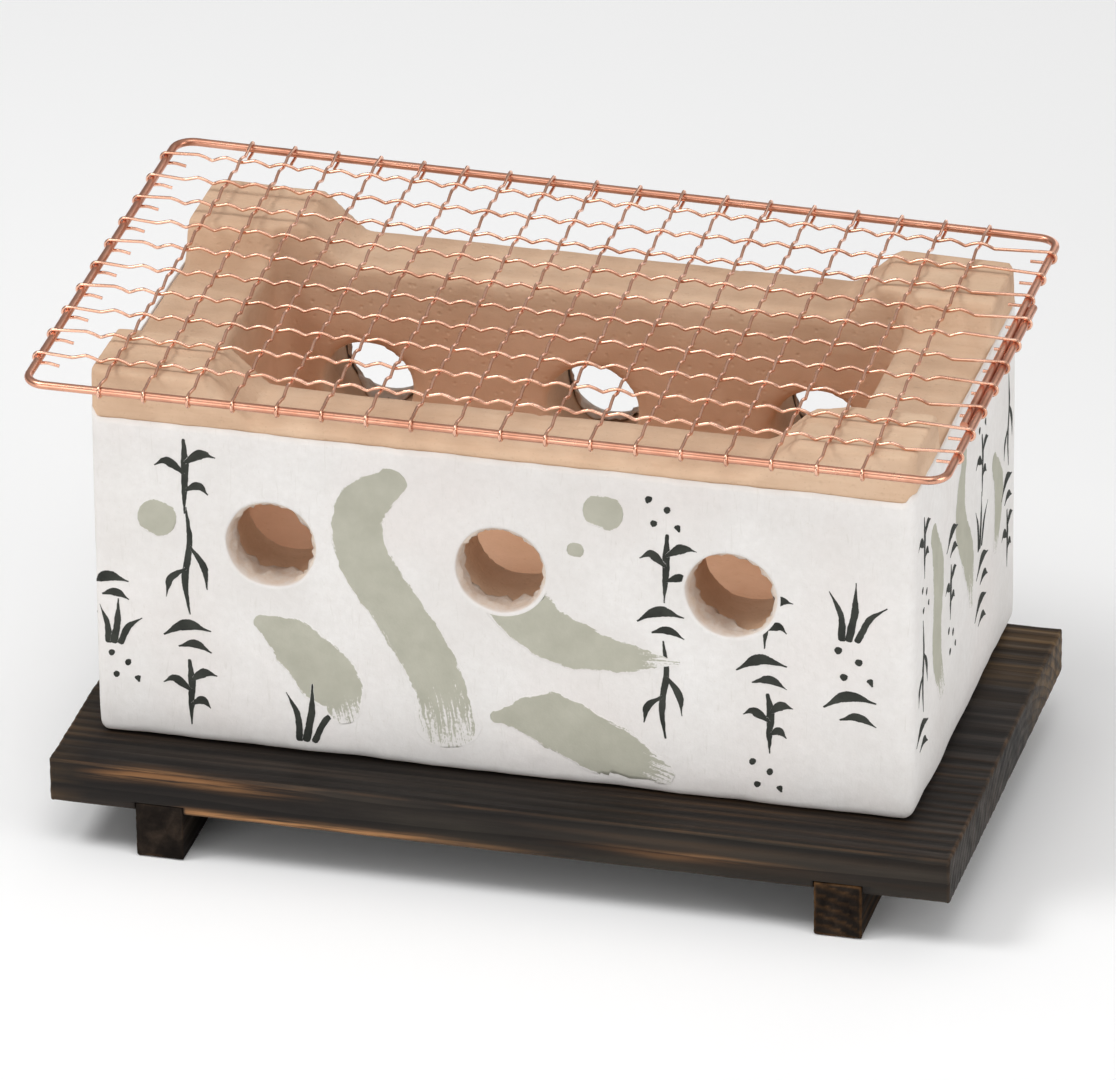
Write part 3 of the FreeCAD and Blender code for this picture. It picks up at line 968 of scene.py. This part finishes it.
def hump(value, middle, spread):
    return math.exp(-((value - middle) / spread) ** 2)


def patches_on(place, low, high):
    """Where the board's char is thin: (amber streaks, straw end, grey bloom)."""
    along = place.x - low.x
    up = place.z - low.z
    front = eased(1 - (place.y - low.y) / (5 * MM))
    drift = 1.3 * MM * hills(place.x, 0, 0, 26 * MM, 61)
    upper = hump(up, 12.2 * MM + drift, 1.7 * MM)
    upper *= eased((along - 6 * MM) / (22 * MM))
    upper *= eased((90 * MM - along) / (45 * MM))
    lower = hump(up, 1.6 * MM + 0.4 * drift, 1.3 * MM)
    lower *= eased((along - 36 * MM) / (10 * MM))
    lower *= eased((165 * MM - along) / (80 * MM))
    short = hump(up, 6 * MM + drift, 1.2 * MM) * hump(along, 196 * MM, 26 * MM) * 0.5
    straw = eased((place.y - high.y + 62 * MM) / (55 * MM)) * eased((along - 238 * MM) / (26 * MM))
    left_end = 0.25 * eased((12 * MM - along) / (10 * MM))
    bloom = front * (0.75 + 0.25 * hills(place.x, 0, place.z, 30 * MM, 62))
    bloom += 0.5 * eased((along - 262 * MM) / (16 * MM))
    return front * max(upper, lower, short), min(1.0, straw + left_end), min(1.0, bloom + 0.12)


def make_plank(name, low, high, grain_axis, pith, seed, steps, edge, relief, node):
    """A board or a rail with burnt-out grain, eased edges and worn corners."""
    shell = grid_block(low, high, steps, edge * 2.2)
    mesh = bpy.data.meshes.new(name)
    shell.to_mesh(mesh)
    shell.free()
    marks = {name: [] for name in ("ridge", "worn", "amber", "straw", "scorched")}
    centre = (low + high) / 2
    half = (high - low) / 2
    for vertex in mesh.vertices:
        place = vertex.co.copy()
        local = place - centre
        turned = Vector((local.y, -local.x, local.z)) if grain_axis == 1 else local
        ridge = growth(turned, pith, seed)
        chips = 0.5 + 0.5 * hills(*place, 9 * MM, seed + 3)
        radius = edge * (0.7 + 0.9 * chips)
        inner = Vector([max(-h + radius, min(h - radius, c)) for h, c in zip(half, local)])
        away = local - inner
        near_edge = sum(1 for h, c in zip(half, local) if abs(c) > h - radius)
        if near_edge >= 2 and away.length > 0:
            local = inner + away.normalized() * radius
        normal = away.normalized() if away.length > 0 else Vector((0, 0, 1))
        end_face = abs(local[grain_axis]) > half[grain_axis] - 1.2 * radius
        depth = relief * (1 - ridge) * (0.45 if end_face else 1.0)
        depth += 0.12 * MM * (0.5 + 0.5 * hills(*place, 20 * MM, seed + 5))
        vertex.co = centre + local - normal * depth
        bare = patches_on(place, low, high) if node == "tray_board" else (0.0, 0.0, 0.0)
        for values, value in zip(marks.values(), (ridge, eased(near_edge - 1) * chips, *bare)):
            values.append(value)
    smooth_shaded(mesh)
    for mark, values in marks.items():
        store(mesh, mark, values)
    # The feet take the duller copy of the wood, as painted shade.
    body = new_object(name, mesh, charred_wood if node == "tray_board" else shaded_foot_wood)
    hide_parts(node)
    return body


def cut_groove(board, side, low, high):
    """Cut the cross groove that a foot sits in."""
    cut = bpy.data.meshes.new("groove")
    block = bmesh.new()
    bmesh.ops.create_cube(block, size=1.0)
    room = 0.05 * MM
    size = Vector((high.x - low.x + 2 * room, high.y - low.y + 8 * MM, high.z - board_low.z + room + 4 * MM))
    middle = Vector(((low.x + high.x) / 2, (low.y + high.y) / 2, high.z + room - size.z / 2))
    bmesh.ops.transform(block, matrix=Matrix.Translation(middle) @ Matrix.Diagonal((*size, 1)), verts=block.verts)
    block.to_mesh(cut)
    block.free()
    cutter = new_object("groove_cutter", cut, charred_wood)
    groove_cut = board.modifiers.new("groove_" + side, "BOOLEAN")
    groove_cut.operation = "DIFFERENCE"
    groove_cut.solver = "EXACT"
    groove_cut.object = cutter
    mesh = baked(board)
    board.modifiers.remove(groove_cut)
    board.data = mesh
    remove(cutter)


def make_tray():
    board = make_plank(
        "charred_tray_board", board_low, board_high, 0, Vector((0, 0.018, -0.055)), 3,
        (5 * MM, 0.9 * MM, 0.9 * MM), 1.0 * MM, 0.42 * MM, "tray_board")
    for side, seed in (("left", 6), ("right", 8)):
        low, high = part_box(side + "_foot")
        foot = make_plank(
            "charred_" + side + "_foot", low, high, 1, Vector((0, 0.012, -0.030)), seed,
            (0.9 * MM, 4 * MM, 0.9 * MM), 0.8 * MM, 0.3 * MM, side + "_foot")
        cut_groove(board, side, low, high)
        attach(foot, "tray")
    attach(board, "tray")


# ---- copper net ----
def make_wire_tree():
    """Sweeps a round section along a curve, with a slight unevenness in the wire."""
    tree = bpy.data.node_groups.new("drawn_wire", "GeometryNodeTree")
    sockets = {}
    for name, kind in (("Path", "Geometry"), ("Wire Radius", "Float"), ("Sides", "Int"),
                       ("Unevenness", "Float"), ("Finish", "Material")):
        made = tree.interface.new_socket(name=name, in_out="INPUT", socket_type="NodeSocket" + kind)
        sockets[name] = made.identifier
    tree.interface.new_socket(name="Wire", in_out="OUTPUT", socket_type="NodeSocketGeometry")
    entry, leave, wander, centred, sized, shift, section, sweep, shade, realize, paint = [
        tree.nodes.new(kind) for kind in (
            "NodeGroupInput", "NodeGroupOutput", "ShaderNodeTexNoise", "ShaderNodeVectorMath",
            "ShaderNodeVectorMath", "GeometryNodeSetPosition", "GeometryNodeCurvePrimitiveCircle",
            "GeometryNodeCurveToMesh", "GeometryNodeSetShadeSmooth", "GeometryNodeRealizeInstances",
            "GeometryNodeSetMaterial")]
    wander.inputs["Scale"].default_value = 90.0
    wander.inputs["Detail"].default_value = 1.0
    centred.operation = "SUBTRACT"
    centred.inputs[1].default_value = (0.5, 0.5, 0.5)
    sized.operation = "SCALE"
    sweep.inputs["Fill Caps"].default_value = True
    for source, output, target, socket in (
        (entry, "Path", shift, "Geometry"),
        (wander, "Color", centred, 0),
        (centred, "Vector", sized, 0),
        (entry, "Unevenness", sized, "Scale"),
        (sized, "Vector", shift, "Offset"),
        (entry, "Wire Radius", section, "Radius"),
        (entry, "Sides", section, "Resolution"),
        (shift, "Geometry", sweep, "Curve"),
        (section, "Curve", sweep, "Profile Curve"),
        (sweep, "Mesh", shade, "Geometry"),
        (shade, "Geometry", realize, "Geometry"),
        (realize, "Geometry", paint, "Geometry"),
        (entry, "Finish", paint, "Material"),
        (paint, "Geometry", leave, "Wire"),
    ):
        tree.links.new(source.outputs[output], target.inputs[socket])
    return tree, sockets


WIRE_TREE, WIRE_SOCKETS = make_wire_tree()


def make_wire(name, points, diameter, sides, uneven, material, node):
    """One wire of the net: its centreline swept by the wire tree."""
    curve = bpy.data.curves.new(name + "_path", "CURVE")
    curve.dimensions = "3D"
    line = curve.splines.new("POLY")
    line.points.add(len(points) - 1)
    for spot, place in zip(line.points, points):
        spot.co = (*place, 1.0)
    source = bpy.data.objects.new(name + "_path", curve)
    bpy.context.scene.collection.objects.link(source)
    sweep = source.modifiers.new("drawn_wire", "NODES")
    sweep.node_group = WIRE_TREE
    sweep[WIRE_SOCKETS["Wire Radius"]] = diameter / 2
    sweep[WIRE_SOCKETS["Sides"]] = sides
    sweep[WIRE_SOCKETS["Unevenness"]] = uneven
    sweep[WIRE_SOCKETS["Finish"]] = material
    mesh = baked(source)
    remove(source)
    wire = new_object(name, mesh, material)
    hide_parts(node)
    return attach(wire, "net")


LOOP_RADIUS = FRAME_WIRE / 2 + FRAME_GAP + MESH_WIRE / 2
CRIMP_HEIGHT = (MESH_WIRE + CROSSING_GAP) / 2
net_low, net_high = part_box("net_frame")
FRAME_LEFT = net_low.x + FRAME_WIRE / 2
FRAME_RIGHT = net_high.x - FRAME_WIRE / 2
FRAME_FRONT = net_low.y + FRAME_WIRE / 2
FRAME_BACK = net_high.y - FRAME_WIRE / 2
FRAME_LEVEL = net_low.z + FRAME_WIRE / 2
FRAME_INNER_RIGHT = FRAME_RIGHT - FRAME_WIRE - LAP_GAP
NET_LEVEL = FRAME_LEVEL + LOOP_RADIUS


def lift(x, y):
    """How far the net stands up at a place: its back left corner is sprung a little."""
    from_right = (FRAME_RIGHT - x) / (FRAME_RIGHT - FRAME_LEFT)
    return NET_TWIST * from_right * (y - FRAME_FRONT) / (FRAME_BACK - FRAME_FRONT)


SHARPNESS = 0.985                # of a crimp's bends; 1 is a plain zigzag
CRIMP_PIECES = 8                 # straight pieces in half a wave
LOOP_PIECES = 12                 # straight pieces in the half turn round the frame
TAIL_PIECES = 6


def crimp(phase, first_sign):
    """A crimped wire's height: a zigzag with rounded bends, deeper between crossings than at them."""
    height = first_sign * math.asin(SHARPNESS * math.cos(math.pi * phase)) / math.asin(SHARPNESS)
    from_crossing = abs(phase - 3 * round(phase / 3))
    deeper = 0.1 if height > 0 else 0.7
    return CRIMP_HEIGHT * height * (1 + deeper * eased(from_crossing))


def half_loop(at, side):
    """Half a turn of a mesh wire round the frame wire; side is -1 or 1 for the way it bulges."""
    angles = [math.pi * index / LOOP_PIECES for index in range(1, LOOP_PIECES)]
    reach = side * LOOP_RADIUS
    return [(at + reach * math.sin(angle), FRAME_LEVEL + reach * math.cos(angle), at) for angle in angles]


def waves_within(space, half_wave):
    """How many half waves fit between the outer crossing and the loop."""
    return int((space - LOOP_RADIUS - LOOP_LEAD - half_wave / 2) / half_wave)


def wire_line(start, end, crossings, first_sign, tail, plain_end, tail_crimp):
    """A mesh wire's centreline as (distance, height, seat), loops and tails included."""
    half_wave = (crossings[1] - crossings[0]) / 3
    first = crossings[0] - half_wave * waves_within(crossings[0] - start, half_wave)
    last = crossings[-1] + half_wave * (waves_within(end - crossings[-1], half_wave) - plain_end)
    under = FRAME_LEVEL - LOOP_RADIUS
    line = []
    for index in range(TAIL_PIECES + 1):
        out = tail * (1 - index / TAIL_PIECES)
        wave = tail_crimp * math.sin(math.pi * 2 * out / (2 * half_wave))
        line.append((start + out, under + wave, start))
    line += half_loop(start, -1)
    line += [(start, NET_LEVEL, start), (start + LOOP_LEAD, NET_LEVEL, start)]
    count = round((last - first) / half_wave) * CRIMP_PIECES
    for index in range(count + 1):
        place = first + (last - first) * index / count
        phase = (place - crossings[0]) / half_wave
        line.append((place, NET_LEVEL + crimp(phase, first_sign), place))
    line += [(end - LOOP_LEAD, NET_LEVEL, end), (end, NET_LEVEL, end)]
    line += half_loop(end, 1)
    line += [(end - tail * share, under, end) for share in (0, 0.5, 1)]
    return line


def rounded_path(corners, radius, pieces):
    """Points along straight runs with round corners, in one level plane."""
    points = [corners[0]]
    for before, corner, after in zip(corners, corners[1:], corners[2:]):
        into = (corner - before).normalized()
        out = (after - corner).normalized()
        start = corner - into * radius
        centre = start + out * radius
        for index in range(pieces + 1):
            angle = math.pi / 2 * index / pieces
            points.append(centre - out * radius * math.cos(angle) + into * radius * math.sin(angle))
    points.append(corners[-1])
    return points


def with_midpoints(points, step):
    """The same line with long runs divided."""
    line = [points[0]]
    for a, b in zip(points, points[1:]):
        pieces = max(1, round((b - a).length / step))
        line += [a + (b - a) * index / pieces for index in range(1, pieces + 1)]
    return line


def make_mesh_wire(name, points):
    make_wire("copper_" + name, points, MESH_WIRE, 10, 0.1 * MM, mesh_copper, name)


def make_net():
    longs = ["long_wire_%02d" % number for number in range(1, 11)]
    shorts = ["short_wire_%02d" % number for number in range(1, 19)]
    long_places = [sum(box[i].y for i in (0, 1)) / 2 for box in map(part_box, longs)]
    short_places = [sum(box[i].x for i in (0, 1)) / 2 for box in map(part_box, shorts)]
    corners = [
        Vector((FRAME_INNER_RIGHT, FRAME_FRONT + LAP_FRONT_SPACE)),
        Vector((FRAME_INNER_RIGHT, FRAME_BACK)),
        Vector((FRAME_LEFT, FRAME_BACK)),
        Vector((FRAME_LEFT, FRAME_FRONT)),
        Vector((FRAME_RIGHT, FRAME_FRONT)),
        Vector((FRAME_RIGHT, FRAME_BACK - LAP_BACK_SPACE)),
    ]
    flat = with_midpoints(rounded_path(corners, FRAME_CORNER, 8), 12 * MM)
    points = [Vector((p.x, p.y, FRAME_LEVEL + lift(p.x, p.y))) for p in flat]
    make_wire("copper_net_frame", points, FRAME_WIRE, 20, 0.12 * MM, frame_copper, "net_frame")
    for index, (name, y) in enumerate(zip(longs, long_places)):
        right_end = FRAME_INNER_RIGHT if y > FRAME_BACK - LAP_BACK_SPACE else FRAME_RIGHT
        line = wire_line(FRAME_LEFT, right_end, short_places, (-1) ** index, SIDE_TAIL, 2, 0.35 * MM)
        points = [Vector((x, y, z + lift(seat, y))) for x, z, seat in line]
        make_mesh_wire(name, points)
    for index, (name, x) in enumerate(zip(shorts, short_places)):
        line = wire_line(FRAME_FRONT, FRAME_BACK, long_places, -((-1) ** index), FRONT_TAIL, 0, 0.0)
        points = [Vector((x, y, z + lift(x, seat))) for y, z, seat in line]
        make_mesh_wire(name, points)


# ---- floor, light and camera ----
def make_floor():
    mesh = bpy.data.meshes.new("floor")
    reach = 6.0
    corners = [(-reach, -reach, 0), (reach, -reach, 0), (reach, reach, 0), (-reach, reach, 0)]
    mesh.from_pydata(corners, [], [(0, 1, 2, 3)])
    recipe = Recipe("pale_floor", roughness=0.9)
    material = recipe.finish(recipe.mix(recipe.noise(3, 2, 0.5), (0.93, 0.93, 0.93), (0.95, 0.95, 0.95)))
    new_object("floor", mesh, material)


def make_lights():
    """Soft round lamps that face the stove, and a pale world that fades downwards."""
    aim = Vector((0.0, 0.0, 0.08))
    for name, place, size, power in (
        ("key", (-0.95, -0.5, 1.5), 0.7, 11),
        ("overhead", (0.2, -0.7, 1.9), 1.1, 8),
        ("front_fill", (-0.8, -2.0, 0.25), 1.6, 16.5),
        ("right_fill", (1.8, -0.5, 0.7), 1.2, 12),
        ("back_fill", (0.3, 2.2, 0.5), 1.4, 6),
    ):
        lamp = bpy.data.lights.new(name, "AREA")
        lamp.shape = "DISK"
        lamp.size = size
        lamp.energy = power
        holder = bpy.data.objects.new(name, lamp)
        holder.location = place
        holder.rotation_euler = (aim - Vector(place)).to_track_quat("-Z", "Y").to_euler()
        bpy.context.scene.collection.objects.link(holder)
    world = bpy.data.worlds.new("studio")
    world.use_nodes = True
    tree = world.node_tree
    back = tree.nodes["Background"]
    place = tree.nodes.new("ShaderNodeTexCoord")
    split = tree.nodes.new("ShaderNodeSeparateXYZ")
    fade = tree.nodes.new("ShaderNodeMapRange")
    fade.inputs["From Min"].default_value = -0.1
    fade.inputs["To Min"].default_value = 0.12
    fade.inputs["To Max"].default_value = 0.6
    tree.links.new(place.outputs["Generated"], split.inputs["Vector"])
    tree.links.new(split.outputs["Z"], fade.inputs["Value"])
    tree.links.new(fade.outputs["Result"], back.inputs["Strength"])
    back.inputs["Color"].default_value = (1, 1, 1, 1)
    bpy.context.scene.world = world
    bpy.context.scene.view_settings.view_transform = "Standard"


def make_camera():
    level = math.cos(ELEVATION)
    forward = Vector((-math.sin(AZIMUTH) * level, math.cos(AZIMUTH) * level, -math.sin(ELEVATION)))
    data = bpy.data.cameras.new("camera")
    data.lens = LENS
    data.sensor_width = 36
    data.clip_end = 50
    camera = bpy.data.objects.new("camera", data)
    turn = forward.to_track_quat("-Z", "Y").to_matrix() @ Matrix.Rotation(ROLL, 3, "Z")
    camera.matrix_world = Matrix.Translation(AIM - forward * CAMERA_DISTANCE) @ turn.to_4x4()
    bpy.context.scene.collection.objects.link(camera)
    bpy.context.scene.camera = camera


make_camera()
make_floor()
make_lights()
make_clay_body()
make_wrap()
decorate()
make_tray()
make_net()
for nails in ("left_foot_nails", "right_foot_nails"):
    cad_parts[nails].data.materials.clear()
    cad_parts[nails].data.materials.append(nail_steel)
